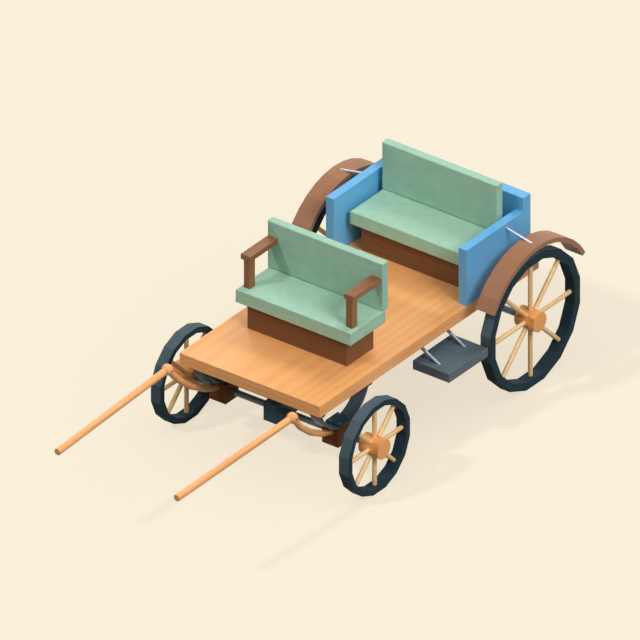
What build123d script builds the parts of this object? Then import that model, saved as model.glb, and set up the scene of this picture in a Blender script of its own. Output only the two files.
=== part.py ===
"""Phaeton carriage: a four-wheeled open carriage with two bench seats and a pair of shafts.

The front faces -Y, +X is the carriage's left side and +Z is up. The origin lies on the ground,
in the middle of the whole outline.
"""
from build123d import *
import os
from math import cos, pi, radians, sin, sqrt

os.makedirs("parts", exist_ok=True)

# Clearances, in millimetres
running_clearance = 0.05
seat_clearance = 0.2
hinge_gap = 0.3

# Deck: a floor board on two side sills and a row of cross bearers, over the rear wheels' radius
deck_width = 1200.0
deck_length = 2490.0
deck_rise = 145.5
frame_depth = 57.0
floor_thickness = 30.0
sill_width = 60.0
bearer_width = 60.0
edge_radius = 3.0

# Wheels: straight rim segments, shaved spokes and a turned hub, set out from the deck's sides
wheel_outset = 202.0
rim_sides = 16
rim_width = 85.0
tyre_thickness = 14.0
spoke_count = 8
spoke_diameter = 34.0
spoke_sides = 12
spoke_seat_depth = 2.0
tenon_width = 14.0
tenon_length = 24.0
tenon_depth = 22.0
hub_diameter = 148.0
hub_length = 165.0
front_wheel_radius = 355.4
front_rim_thickness = 43.0
rear_wheel_radius = 520.0
rear_rim_thickness = 61.0

# Axles: the front one behind the deck's front edge, the rear one ahead of its rear edge
front_axle_back = 350.0
rear_axle_inset = 367.0
axle_diameter = 47.0
journal_diameter = 36.0
journal_length = 118.0

# Front springs: half rings that hang the deck's turntable, with heights from the front wheels' radius
front_spring_x = 500.0
front_spring_width = 100.0
front_spring_radius = 280.0
front_spring_rise = 349.1
spring_thickness = 14.0

# Front axle blocks, spring clamps and bolster, with heights from the front wheels' radius
block_x = 481.0
block_width = 139.0
block_length = 152.0
block_drop = 78.9
saddle_depth = 8.0
clamp_width = 130.0
clamp_length = 138.0
clamp_rise = 98.1
bolster_width = 114.0
bolster_length = 235.0
bolster_drop = 50.9
bolster_rise = 93.1

# Turntable between the fore-carriage and the deck
turntable_diameter = 580.0
ring_width = 60.0
plate_thickness = 10.0
ring_thickness = 10.0
bar_height = 28.0
bar_width = 50.0
bar_overhang = 15.0
kingpin_diameter = 40.0
kingpin_socket_depth = 40.0
kingpin_hole_diameter = 46.0

# Shafts: bowed arms on the axle blocks, ball-shaped knuckles and straight poles
arm_diameter = 46.0
arm_root_x = 484.0
arm_root_rise = 14.6
arm_root_inset = 40.0
arm_bow = 58.0
arm_runs = 4
ball_diameter = 82.0
ball_x = 533.0
ball_ahead = 226.0
ball_drop = 1.0
tongue_thickness = 24.0
tongue_height = 44.0
knuckle_relief = 1.0
knuckle_pin_diameter = 16.0
pole_diameter = 52.0
pole_gap = 6.0
pole_tip_x = 509.0
pole_tip_ahead = 1511.0
pole_tip_drop = 33.0
pole_chamfer = 3.0

# Seats: a box, a seat board, a cushion and a back each
seat_box_inset = 72.0
seat_box_length = 302.0
seat_box_height = 208.0
seat_box_wall = 18.0
seat_board_thickness = 12.0
seat_board_margin = 8.0
cushion_side_gap = 37.0
cushion_length = 406.0
cushion_height = 101.0
cushion_corner = 10.0
back_thickness = 67.0
back_height = 370.0
front_seat_back = 691.0
rear_seat_inset = 501.0
front_back_overlap = 43.0
rear_back_overlap = 39.0

# Front armrests, set in from the ends of the cushion
arm_rest_inset = 55.0
arm_rest_width = 82.0
arm_rest_thickness = 41.0
arm_rest_length = 311.0
arm_rest_height = 264.0
post_inset = 60.0
post_width = 52.0
post_length = 58.0
post_setback = 9.0

# Rear panels
panel_thickness = 67.0
panel_length = 644.0
panel_height = 444.0
back_panel_thickness = 84.0
back_panel_height = 552.0
panel_rear_margin = 95.0

# Rear fenders and their stays
fender_gap = 55.0
fender_thickness = 35.0
fender_width = 148.0
fender_start_angle = 30.0
fender_end_angle = 150.0
fender_segments = 12
stay_diameter = 17.0
stay_foot_inset = 16.0
stay_panel_height = 407.0

# Steps and their hangers, ahead of the rear wheels
step_width = 310.0
step_length = 440.0
step_thickness = 68.0
step_wall = 8.0
step_outset = 90.0
step_gap = 21.0
step_drop = 114.0
hanger_diameter = 26.0
hanger_spacing = 292.0
hanger_inset = 120.0

# Rear springs: shallow single leaves over the rear axle
rear_spring_x = 420.0
rear_spring_width = 100.0
rear_spring_half_length = 270.0
rear_spring_height = 80.0
rear_spring_pad_thickness = 12.0
rear_block_width = 100.0
rear_block_length = 140.0
rear_block_drop = 14.0
rear_clamp_height = 26.0
spring_hanger_length = 60.0

# Worked-out widths and distances back from the deck's front edge
half_deck = deck_width / 2
wheel_x = half_deck + wheel_outset
cushion_width = deck_width - 2 * (panel_thickness + cushion_side_gap)
seat_box_width = cushion_width - 2 * seat_box_inset
arm_rest_x = cushion_width / 2 - arm_rest_inset
post_x = cushion_width / 2 - post_inset
hanger_top_x = half_deck - hanger_inset
step_x = half_deck + step_outset
rear_axle_back = deck_length - rear_axle_inset
rear_seat_back = deck_length - rear_seat_inset
step_back = rear_axle_back - rear_wheel_radius - step_gap - step_length / 2

# Worked-out heights
flat_angle = 180.0 / rim_sides
deck_underside_z = rear_wheel_radius + deck_rise
deck_top_z = deck_underside_z + frame_depth + floor_thickness
front_axle_z = front_wheel_radius * cos(pi / rim_sides)
rear_axle_z = rear_wheel_radius * cos(pi / rim_sides)
seat_top_z = deck_top_z + seat_box_height
cushion_top_z = seat_top_z + cushion_height
step_top_z = deck_underside_z - step_drop
ball_z = deck_top_z - ball_drop
pole_tip_z = deck_top_z - pole_tip_drop
front_spring_centre_z = front_wheel_radius + front_spring_rise
block_bottom_z = front_wheel_radius - block_drop
clamp_top_z = front_wheel_radius + clamp_rise
bolster_bottom_z = front_wheel_radius - bolster_drop
bolster_top_z = front_wheel_radius + bolster_rise
arm_root_z = front_wheel_radius + arm_root_rise

# The whole outline runs from the tips of the poles to the back ends of the fenders
fender_inner_radius = rear_wheel_radius + fender_gap
fender_outer_radius = fender_inner_radius + fender_thickness
ball = Vector(ball_x, -ball_ahead, ball_z)
pole_tip = Vector(pole_tip_x, -pole_tip_ahead, pole_tip_z)
pole_length = (pole_tip - ball).length
pole_direction = (pole_tip - ball).normalized()
front_reach = pole_tip_ahead + (pole_diameter / 2 - pole_chamfer) * sqrt(1 - pole_direction.Y**2)
rear_reach = rear_axle_back + fender_outer_radius * cos(radians(fender_start_angle))
deck_front_y = (front_reach - rear_reach) / 2
deck_middle_y = deck_front_y + deck_length / 2
front_axle_y = deck_front_y + front_axle_back
rear_axle_y = deck_front_y + rear_axle_back
ball = ball + Vector(0, deck_front_y, 0)
pole_tip = pole_tip + Vector(0, deck_front_y, 0)

# Turntable levels, from the deck downwards
plate_bottom_z = deck_underside_z - plate_thickness
ring_top_z = plate_bottom_z - hinge_gap
bar_top_z = ring_top_z - ring_thickness
bar_bottom_z = bar_top_z - bar_height
bar_offset_y = sqrt(front_spring_radius**2 - (front_spring_centre_z - bar_bottom_z) ** 2)

# Rear spring arc, from its length and height
rear_spring_bottom_z = rear_axle_z + axle_diameter / 2 + rear_spring_pad_thickness
rear_spring_inner = (rear_spring_half_length**2 + rear_spring_height**2) / (2 * rear_spring_height)
rear_spring_centre_z = rear_spring_bottom_z + spring_thickness + rear_spring_inner


def save(builder, name):
    """Label a finished piece and write it."""
    builder.part.label = name
    export_step(builder.part, f"parts/{name}.step")


def box(x, y, z, mode=Mode.ADD):
    """Add a block between the low and high values of x, y and z."""
    with Locations(((x[0] + x[1]) / 2, (y[0] + y[1]) / 2, (z[0] + z[1]) / 2)):
        Box(x[1] - x[0], y[1] - y[0], z[1] - z[0], mode=mode)


def cross_rod(y, z, radius, x, mode=Mode.ADD):
    """Add a round bar along X between the two values of x."""
    with BuildSketch(Plane.YZ.offset(x[0])) as section:
        with Locations((y, z)):
            Circle(radius)
    extrude(section.sketch, amount=x[1] - x[0], mode=mode)


def rod_between(start, end, radius):
    """Add a round bar from one point to another."""
    run = end - start
    with BuildSketch(Plane(origin=start, z_dir=run)) as section:
        Circle(radius)
    extrude(section.sketch, amount=run.length)


# Deck
sill_inner_x = half_deck - sill_width
frame_top_z = deck_underside_z + frame_depth

with BuildPart() as floor_board:
    with Locations((0, deck_middle_y, frame_top_z)):
        Box(deck_width, deck_length, floor_thickness, align=(Align.CENTER, Align.CENTER, Align.MIN))
    fillet(floor_board.edges().filter_by(Axis.Z), edge_radius)
save(floor_board, "floor_board")

with BuildPart() as side_sills:
    box(
        (sill_inner_x, half_deck),
        (deck_front_y, deck_front_y + deck_length),
        (deck_underside_z, frame_top_z),
    )
    fillet(side_sills.edges().filter_by(Axis.Z).group_by(Axis.X)[-1], edge_radius)
    mirror(about=Plane.YZ)
save(side_sills, "side_sills")

# Bearers, by their distance back from the front edge to their middle: the end rails, three over
# the turntable, two over the step hangers and two over the ends of the rear springs
bearer_backs = [
    bearer_width / 2,
    front_axle_back - turntable_diameter / 2 + bar_width,
    front_axle_back,
    front_axle_back + turntable_diameter / 2 - bar_width,
    step_back - hanger_spacing / 2,
    step_back + hanger_spacing / 2,
    rear_axle_back - rear_spring_half_length,
    rear_axle_back + rear_spring_half_length,
    deck_length - bearer_width / 2,
]

with BuildPart() as cross_bearers:
    for bearer_back in bearer_backs:
        bearer_y = deck_front_y + bearer_back
        box(
            (-sill_inner_x, sill_inner_x),
            (bearer_y - bearer_width / 2, bearer_y + bearer_width / 2),
            (deck_underside_z, frame_top_z),
        )
    with BuildSketch(Plane.XY.offset(deck_underside_z)):
        with Locations((0, front_axle_y)):
            Circle(kingpin_diameter / 2 + running_clearance)
    extrude(amount=kingpin_socket_depth + hinge_gap, mode=Mode.SUBTRACT)
save(cross_bearers, "cross_bearers")

with BuildPart() as turntable_plate:
    with BuildSketch(Plane.XY.offset(plate_bottom_z)):
        with Locations((0, front_axle_y)):
            Rectangle(turntable_diameter, turntable_diameter)
            Circle(kingpin_hole_diameter / 2, mode=Mode.SUBTRACT)
    extrude(amount=plate_thickness)
save(turntable_plate, "turntable_plate")

# Seats: name, middle of the seat behind the deck's front edge, how far the back overlaps the cushion
seats = [
    ("front", front_seat_back, front_back_overlap, True),
    ("rear", rear_seat_back, rear_back_overlap, False),
]
post_y = deck_front_y + front_seat_back - cushion_length / 2 + cushion_length - front_back_overlap
post_y = post_y - arm_rest_length + post_setback + post_length / 2

for seat_name, seat_back, back_overlap, has_posts in seats:
    seat_y = deck_front_y + seat_back
    cushion_rear_y = seat_y + cushion_length / 2

    with BuildPart() as seat_box:
        with Locations((0, seat_y, deck_top_z)):
            Box(
                seat_box_width,
                seat_box_length,
                seat_box_height,
                align=(Align.CENTER, Align.CENTER, Align.MIN),
            )
        offset(amount=-seat_box_wall, openings=seat_box.faces().sort_by(Axis.Z)[0])
    save(seat_box, f"{seat_name}_seat_box")

    with BuildPart() as seat_board:
        with Locations((0, seat_y, seat_top_z)):
            Box(
                cushion_width - 2 * seat_board_margin,
                cushion_length - 2 * seat_board_margin,
                seat_board_thickness,
                align=(Align.CENTER, Align.CENTER, Align.MIN),
            )
    save(seat_board, f"{seat_name}_seat_board")

    with BuildPart() as cushion:
        with Locations((0, seat_y, seat_top_z)):
            Box(
                cushion_width,
                cushion_length,
                cushion_height,
                align=(Align.CENTER, Align.CENTER, Align.MIN),
            )
        fillet(cushion.edges().filter_by(Axis.Z), cushion_corner)
        with Locations((0, seat_y, seat_top_z)):
            Box(
                cushion_width - 2 * seat_board_margin + 2 * seat_clearance,
                cushion_length - 2 * seat_board_margin + 2 * seat_clearance,
                seat_board_thickness,
                align=(Align.CENTER, Align.CENTER, Align.MIN),
                mode=Mode.SUBTRACT,
            )
        if has_posts:
            with Locations((post_x, post_y, seat_top_z), (-post_x, post_y, seat_top_z)):
                Box(
                    post_width + 2 * seat_clearance,
                    post_length + 2 * seat_clearance,
                    cushion_height,
                    align=(Align.CENTER, Align.CENTER, Align.MIN),
                    mode=Mode.SUBTRACT,
                )
    save(cushion, f"{seat_name}_cushion")

    with BuildPart() as seat_rest:
        with Locations((0, cushion_rear_y - back_overlap, cushion_top_z)):
            Box(
                cushion_width,
                back_thickness,
                back_height,
                align=(Align.CENTER, Align.MIN, Align.MIN),
            )
        fillet(seat_rest.edges().filter_by(Axis.Y), cushion_corner)
    save(seat_rest, f"{seat_name}_back")

# Front armrests: an upright post on the seat board and a flat arm back to the seat back
arm_rear_y = deck_front_y + front_seat_back + cushion_length / 2 - front_back_overlap
arm_top_z = cushion_top_z + arm_rest_height

with BuildPart() as armrest_posts:
    with Locations((post_x, post_y, seat_top_z + seat_board_thickness)):
        Box(
            post_width,
            post_length,
            arm_top_z - arm_rest_thickness - seat_top_z - seat_board_thickness,
            align=(Align.CENTER, Align.CENTER, Align.MIN),
        )
    mirror(about=Plane.YZ)
save(armrest_posts, "armrest_posts")

with BuildPart() as armrests:
    with Locations((arm_rest_x, arm_rear_y, arm_top_z)):
        Box(
            arm_rest_width,
            arm_rest_length,
            arm_rest_thickness,
            align=(Align.CENTER, Align.MAX, Align.MAX),
        )
    fillet(armrests.edges().filter_by(Axis.Y).group_by(Axis.Z)[-1], edge_radius)
    mirror(about=Plane.YZ)
save(armrests, "armrests")

# Rear panels
panel_rear_y = deck_front_y + deck_length - panel_rear_margin - back_panel_thickness

with BuildPart() as side_panels:
    box(
        (half_deck - panel_thickness, half_deck),
        (panel_rear_y - panel_length, panel_rear_y),
        (deck_top_z, deck_top_z + panel_height),
    )
    mirror(about=Plane.YZ)
save(side_panels, "side_panels")

with BuildPart() as back_panel:
    box(
        (-half_deck, half_deck),
        (panel_rear_y, panel_rear_y + back_panel_thickness),
        (deck_top_z, deck_top_z + back_panel_height),
    )
save(back_panel, "back_panel")

# Rear fenders and stays
fender_step = (fender_end_angle - fender_start_angle) / fender_segments
fender_angles = [radians(fender_start_angle + fender_step * corner) for corner in range(fender_segments + 1)]
fender_corners = [Vector(cos(angle), sin(angle)) for angle in fender_angles]
axle_point = Vector(rear_axle_y, rear_axle_z)
outer_points = [axle_point + corner * fender_outer_radius for corner in fender_corners]
inner_points = [axle_point + corner * fender_inner_radius for corner in fender_corners]

with BuildPart() as fenders:
    with BuildSketch(Plane.YZ.offset(wheel_x - fender_width / 2)):
        with BuildLine():
            Polyline(outer_points + inner_points[::-1], close=True)
        make_face()
    extrude(amount=fender_width)
    mirror(about=Plane.YZ)
save(fenders, "fenders")

stay_top = Vector(half_deck, rear_axle_y, deck_top_z + stay_panel_height)
stay_foot = Vector(wheel_x - stay_foot_inset, rear_axle_y, rear_axle_z + fender_outer_radius)
stay_overrun = (stay_foot - stay_top).normalized() * stay_diameter

with BuildPart() as fender_stays:
    rod_between(stay_top - stay_overrun, stay_foot + stay_overrun * 2, stay_diameter / 2)
    split(bisect_by=Plane(origin=(half_deck, 0, 0), z_dir=(1, 0, 0)), keep=Keep.TOP)
    add(fenders.part, mode=Mode.SUBTRACT)
    add(fender_stays.solids().sort_by(Axis.X)[0], mode=Mode.REPLACE)
    mirror(about=Plane.YZ)
save(fender_stays, "fender_stays")

# Steps: trays open below, each on two slanting hangers from the deck
step_y = deck_front_y + step_back
hanger_run = Vector(step_x - hanger_top_x, 0, step_top_z - deck_underside_z)
hanger_overrun = hanger_run.normalized() * 2 * hanger_diameter

with BuildPart() as step_plates:
    with Locations((step_x, step_y, step_top_z)):
        Box(step_width, step_length, step_thickness, align=(Align.CENTER, Align.CENTER, Align.MAX))
    offset(amount=-step_wall, openings=step_plates.faces().sort_by(Axis.Z)[0])
    mirror(about=Plane.YZ)
save(step_plates, "step_plates")

with BuildPart() as step_hangers:
    for hanger_side in (-1, 1):
        hanger_top = Vector(hanger_top_x, step_y + hanger_side * hanger_spacing / 2, deck_underside_z)
        hanger_foot = hanger_top + hanger_run
        rod_between(hanger_top - hanger_overrun, hanger_foot + hanger_overrun, hanger_diameter / 2)
    split(bisect_by=Plane.XY.offset(deck_underside_z), keep=Keep.BOTTOM)
    split(bisect_by=Plane.XY.offset(step_top_z), keep=Keep.TOP)
    mirror(about=Plane.YZ)
save(step_hangers, "step_hangers")

# Axles: a round bar with a thinner journal in each hub
hub_inner_x = wheel_x - hub_length / 2
shoulder_x = hub_inner_x - hinge_gap
axles = [("front", front_axle_y, front_axle_z), ("rear", rear_axle_y, rear_axle_z)]

for axle_name, axle_y, axle_z in axles:
    with BuildPart() as axle:
        cross_rod(axle_y, axle_z, axle_diameter / 2, (-shoulder_x, shoulder_x))
        journal_end_x = shoulder_x + journal_length
        cross_rod(axle_y, axle_z, journal_diameter / 2, (-journal_end_x, journal_end_x))
    save(axle, f"{axle_name}_axle")

# Rear springs, their blocks and clamps on the axle, and their hangers under the deck
rear_spring_low_x = rear_spring_x - rear_spring_width / 2
rear_spring_x_range = (rear_spring_low_x, rear_spring_low_x + rear_spring_width)

with BuildPart() as rear_springs:
    with BuildSketch(Plane.YZ.offset(rear_spring_low_x)):
        with Locations((rear_axle_y, rear_spring_centre_z)):
            Circle(rear_spring_inner + spring_thickness)
            Circle(rear_spring_inner, mode=Mode.SUBTRACT)
        with Locations((rear_axle_y, rear_spring_bottom_z)):
            Rectangle(
                2 * rear_spring_half_length + spring_hanger_length,
                2 * (spring_thickness + rear_spring_height) + spring_hanger_length,
                mode=Mode.INTERSECT,
            )
    extrude(amount=rear_spring_width)
    mirror(about=Plane.YZ)
save(rear_springs, "rear_springs")

with BuildPart() as rear_axle_blocks:
    box(
        (rear_spring_x - rear_block_width / 2, rear_spring_x + rear_block_width / 2),
        (rear_axle_y - rear_block_length / 2, rear_axle_y + rear_block_length / 2),
        (rear_axle_z - axle_diameter / 2 - rear_block_drop, rear_spring_bottom_z + saddle_depth),
    )
    cross_rod(
        rear_axle_y,
        rear_axle_z,
        axle_diameter / 2 + seat_clearance,
        (0, wheel_x),
        mode=Mode.SUBTRACT,
    )
    cross_rod(
        rear_axle_y,
        rear_spring_centre_z,
        rear_spring_inner + spring_thickness + seat_clearance,
        (0, wheel_x),
        mode=Mode.SUBTRACT,
    )
    mirror(about=Plane.YZ)
save(rear_axle_blocks, "rear_axle_blocks")

with BuildPart() as rear_spring_clamps:
    rear_clamp_bottom_z = rear_spring_bottom_z + spring_thickness
    box(
        (rear_spring_x - rear_block_width / 2, rear_spring_x + rear_block_width / 2),
        (rear_axle_y - rear_block_length / 2, rear_axle_y + rear_block_length / 2),
        (rear_clamp_bottom_z, rear_clamp_bottom_z + rear_clamp_height),
    )
    cross_rod(
        rear_axle_y,
        rear_spring_centre_z,
        rear_spring_inner - seat_clearance,
        (0, wheel_x),
        mode=Mode.INTERSECT,
    )
    mirror(about=Plane.YZ)
save(rear_spring_clamps, "rear_spring_clamps")

with BuildPart() as rear_spring_hangers:
    for hanger_side in (-1, 1):
        hanger_y = rear_axle_y + hanger_side * rear_spring_half_length
        box(
            rear_spring_x_range,
            (hanger_y - spring_hanger_length / 2, hanger_y + spring_hanger_length / 2),
            (rear_spring_bottom_z + spring_thickness, deck_underside_z),
        )
    cross_rod(
        rear_axle_y,
        rear_spring_centre_z,
        rear_spring_inner - seat_clearance,
        (0, wheel_x),
        mode=Mode.INTERSECT,
    )
    mirror(about=Plane.YZ)
save(rear_spring_hangers, "rear_spring_hangers")

# Fore-carriage: springs, blocks, clamps, bolster and the lower half of the turntable
front_spring_bottom_z = front_spring_centre_z - front_spring_radius - spring_thickness / 2
front_spring_outer = front_spring_radius + spring_thickness / 2
front_spring_inner = front_spring_radius - spring_thickness / 2

with BuildPart() as front_springs:
    with BuildSketch(Plane.YZ.offset(front_spring_x - front_spring_width / 2)):
        with Locations((front_axle_y, front_spring_centre_z)):
            Circle(front_spring_outer)
            Circle(front_spring_inner, mode=Mode.SUBTRACT)
        with Locations((front_axle_y, bar_bottom_z)):
            Rectangle(
                2 * front_spring_outer,
                2 * front_spring_outer,
                align=(Align.CENTER, Align.MIN),
                mode=Mode.SUBTRACT,
            )
    extrude(amount=front_spring_width)
    mirror(about=Plane.YZ)
save(front_springs, "front_springs")

block_front_y = front_axle_y - block_length / 2

with BuildPart() as front_axle_blocks:
    box(
        (block_x - block_width / 2, block_x + block_width / 2),
        (block_front_y, block_front_y + block_length),
        (block_bottom_z, front_spring_bottom_z + saddle_depth),
    )
    cross_rod(
        front_axle_y,
        front_axle_z,
        axle_diameter / 2 + seat_clearance,
        (0, wheel_x),
        mode=Mode.SUBTRACT,
    )
    cross_rod(
        front_axle_y,
        front_spring_centre_z,
        front_spring_outer + seat_clearance,
        (0, wheel_x),
        mode=Mode.SUBTRACT,
    )
    mirror(about=Plane.YZ)
save(front_axle_blocks, "front_axle_blocks")

with BuildPart() as front_spring_clamps:
    box(
        (front_spring_x - clamp_width / 2, front_spring_x + clamp_width / 2),
        (front_axle_y - clamp_length / 2, front_axle_y + clamp_length / 2),
        (front_spring_bottom_z + spring_thickness, clamp_top_z),
    )
    cross_rod(
        front_axle_y,
        front_spring_centre_z,
        front_spring_inner - seat_clearance,
        (0, wheel_x),
        mode=Mode.INTERSECT,
    )
    mirror(about=Plane.YZ)
save(front_spring_clamps, "front_spring_clamps")

with BuildPart() as bolster:
    box(
        (-bolster_width / 2, bolster_width / 2),
        (front_axle_y - bolster_length / 2, front_axle_y + bolster_length / 2),
        (bolster_bottom_z, bolster_top_z),
    )
    cross_rod(
        front_axle_y,
        front_axle_z,
        axle_diameter / 2 + seat_clearance,
        (-bolster_width, bolster_width),
        mode=Mode.SUBTRACT,
    )
save(bolster, "bolster")

with BuildPart() as kingpin:
    with BuildSketch(Plane.XY.offset(bolster_top_z)):
        with Locations((0, front_axle_y)):
            Circle(kingpin_diameter / 2)
    extrude(amount=deck_underside_z + kingpin_socket_depth - bolster_top_z)
save(kingpin, "kingpin")

bar_half_length = front_spring_x + front_spring_width / 2 + bar_overhang

with BuildPart() as turntable_bars:
    for bar_side in (-1, 1):
        bar_y = front_axle_y + bar_side * bar_offset_y
        box(
            (-bar_half_length, bar_half_length),
            (bar_y - bar_width / 2, bar_y + bar_width / 2),
            (bar_bottom_z, bar_top_z),
        )
save(turntable_bars, "turntable_bars")

with BuildPart() as turntable_ring:
    with BuildSketch(Plane.XY.offset(bar_top_z)):
        with Locations((0, front_axle_y)):
            Circle(turntable_diameter / 2)
            Circle(turntable_diameter / 2 - ring_width, mode=Mode.SUBTRACT)
    extrude(amount=ring_thickness)
save(turntable_ring, "turntable_ring")

# Shaft arms: bowed bars from the axle blocks up to forked ball knuckles
arm_root = Vector(arm_root_x, block_front_y + arm_root_inset, arm_root_z)
arm_chord = ball - arm_root
arm_middle = (arm_root + ball) * 0.5 + arm_chord.cross(Vector(1, 0, 0)).normalized() * -arm_bow
arm_curve = ThreePointArc(arm_root, arm_middle, ball)
ball_radius = ball_diameter / 2
slot_thickness = tongue_thickness + 2 * hinge_gap

with BuildPart() as shaft_arms:
    with BuildLine():
        arm_line = Polyline([arm_curve @ (run / arm_runs) for run in range(arm_runs + 1)])
    with BuildSketch(Plane(origin=arm_root, z_dir=arm_line % 0)):
        Circle(arm_diameter / 2)
    sweep(path=arm_line, transition=Transition.RIGHT)
    split(bisect_by=Plane(origin=(0, block_front_y, 0), z_dir=(0, -1, 0)), keep=Keep.TOP)
    with Locations(ball):
        Sphere(ball_radius)
    cross_rod(
        ball.Y,
        ball.Z,
        ball_radius + knuckle_relief,
        (ball_x - slot_thickness / 2, ball_x + slot_thickness / 2),
        mode=Mode.SUBTRACT,
    )
    cross_rod(
        ball.Y,
        ball.Z,
        knuckle_pin_diameter / 2 + running_clearance,
        (ball_x - ball_radius, ball_x + ball_radius),
        mode=Mode.SUBTRACT,
    )
    mirror(about=Plane.YZ)
save(shaft_arms, "shaft_arms")

pin_half_length = sqrt(ball_radius**2 - (knuckle_pin_diameter / 2) ** 2)

with BuildPart() as shaft_pins:
    cross_rod(
        ball.Y,
        ball.Z,
        knuckle_pin_diameter / 2,
        (ball_x - pin_half_length, ball_x + pin_half_length),
    )
    mirror(about=Plane.YZ)
save(shaft_pins, "shaft_pins")

# Shaft poles: a tongue in each knuckle's fork, a short neck and a straight round pole
pole_start = ball_radius + pole_gap
neck_direction = Vector(0, pole_direction.Y, pole_direction.Z)

tongue_radius = sqrt(ball_radius**2 - (tongue_thickness / 2) ** 2)

with BuildPart() as shaft_pole:
    cross_rod(
        ball.Y,
        ball.Z,
        tongue_radius,
        (ball_x - tongue_thickness / 2, ball_x + tongue_thickness / 2),
    )
    with BuildSketch(Plane(origin=ball, x_dir=(1, 0, 0), z_dir=neck_direction)):
        Rectangle(tongue_thickness, tongue_height)
    extrude(amount=pole_start + pole_gap)
    with BuildSketch(Plane(origin=ball + pole_direction * pole_start, z_dir=pole_direction)):
        Circle(pole_diameter / 2)
    extrude(amount=pole_length - pole_start)
    chamfer(shaft_pole.faces().sort_by(Axis.Y)[0].edges(), pole_chamfer)
    cross_rod(
        ball.Y,
        ball.Z,
        knuckle_pin_diameter / 2 + running_clearance,
        (ball_x - tongue_thickness, ball_x + tongue_thickness),
        mode=Mode.SUBTRACT,
    )
save(shaft_pole, "left_shaft")

with BuildPart() as right_shaft_pole:
    add(shaft_pole.part.mirror(Plane.YZ))
save(right_shaft_pole, "right_shaft")

# Wheels: name, side, axle place and height, radius over the corners, radial thickness of the rim
wheels = [
    ("front_left", 1, front_axle_y, front_axle_z, front_wheel_radius, front_rim_thickness),
    ("front_right", -1, front_axle_y, front_axle_z, front_wheel_radius, front_rim_thickness),
    ("rear_left", 1, rear_axle_y, rear_axle_z, rear_wheel_radius, rear_rim_thickness),
    ("rear_right", -1, rear_axle_y, rear_axle_z, rear_wheel_radius, rear_rim_thickness),
]
hub_radius = hub_diameter / 2
spoke_seat_radius = hub_radius - spoke_seat_depth

for wheel_name, wheel_side, wheel_y, wheel_z, wheel_radius, rim_thickness in wheels:
    wheel_centre = (wheel_side * wheel_x, wheel_y, wheel_z)
    wheel_middle = Plane(origin=wheel_centre, x_dir=(0, 1, 0), z_dir=(wheel_side, 0, 0))
    tyre_inner_radius = wheel_radius - tyre_thickness
    rim_inner_radius = wheel_radius - rim_thickness

    with BuildPart() as tyre:
        with BuildSketch(wheel_middle):
            RegularPolygon(wheel_radius, rim_sides, rotation=flat_angle)
            RegularPolygon(tyre_inner_radius, rim_sides, rotation=flat_angle, mode=Mode.SUBTRACT)
        extrude(amount=rim_width / 2, both=True)
    save(tyre, f"{wheel_name}_tyre")

    with BuildPart() as rim:
        with BuildSketch(wheel_middle):
            RegularPolygon(tyre_inner_radius, rim_sides, rotation=flat_angle)
            RegularPolygon(rim_inner_radius, rim_sides, rotation=flat_angle, mode=Mode.SUBTRACT)
        extrude(amount=rim_width / 2, both=True)
    save(rim, f"{wheel_name}_rim")

    with BuildPart() as hub:
        with BuildSketch(wheel_middle):
            Circle(hub_radius)
        extrude(amount=hub_length / 2, both=True)
        with BuildSketch(wheel_middle.offset(-hub_length / 2)):
            Circle(journal_diameter / 2 + running_clearance)
        extrude(amount=journal_length, mode=Mode.SUBTRACT)
        with Locations(wheel_middle):
            with PolarLocations(spoke_seat_radius, spoke_count):
                Box(
                    spoke_diameter,
                    spoke_diameter + 2 * seat_clearance,
                    spoke_diameter + 2 * seat_clearance,
                    align=(Align.MIN, Align.CENTER, Align.CENTER),
                    mode=Mode.SUBTRACT,
                )
                Box(
                    tenon_depth,
                    tenon_width + 2 * seat_clearance,
                    tenon_length + 2 * seat_clearance,
                    align=(Align.MAX, Align.CENTER, Align.CENTER),
                    mode=Mode.SUBTRACT,
                )
    save(hub, f"{wheel_name}_hub")

    spoke_length = rim_inner_radius * cos(pi / rim_sides) - spoke_seat_radius
    spoke_foot = Plane(
        origin=wheel_middle.from_local_coords(Vector(spoke_seat_radius, 0, 0)),
        x_dir=wheel_middle.z_dir,
        z_dir=wheel_middle.x_dir,
    )

    with BuildPart() as spokes:
        with BuildSketch(spoke_foot):
            RegularPolygon(spoke_diameter / 2, spoke_sides)
        extrude(amount=spoke_length)
        with BuildSketch(spoke_foot):
            Rectangle(tenon_length, tenon_width)
        extrude(amount=-tenon_depth)
        first_spoke = spokes.part
        for spoke in range(1, spoke_count):
            add(first_spoke.rotate(Axis(wheel_centre, (1, 0, 0)), 360 / spoke_count * spoke))
    save(spokes, f"{wheel_name}_spokes")
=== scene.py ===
"""Phaeton carriage: finishes, padded seats, small hardware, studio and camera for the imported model."""
import logging
import math
from collections.abc import Callable, Iterable
from dataclasses import dataclass, field
from enum import Enum
from functools import lru_cache
from typing import Any

import bpy
from mathutils import Matrix, Vector


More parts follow.
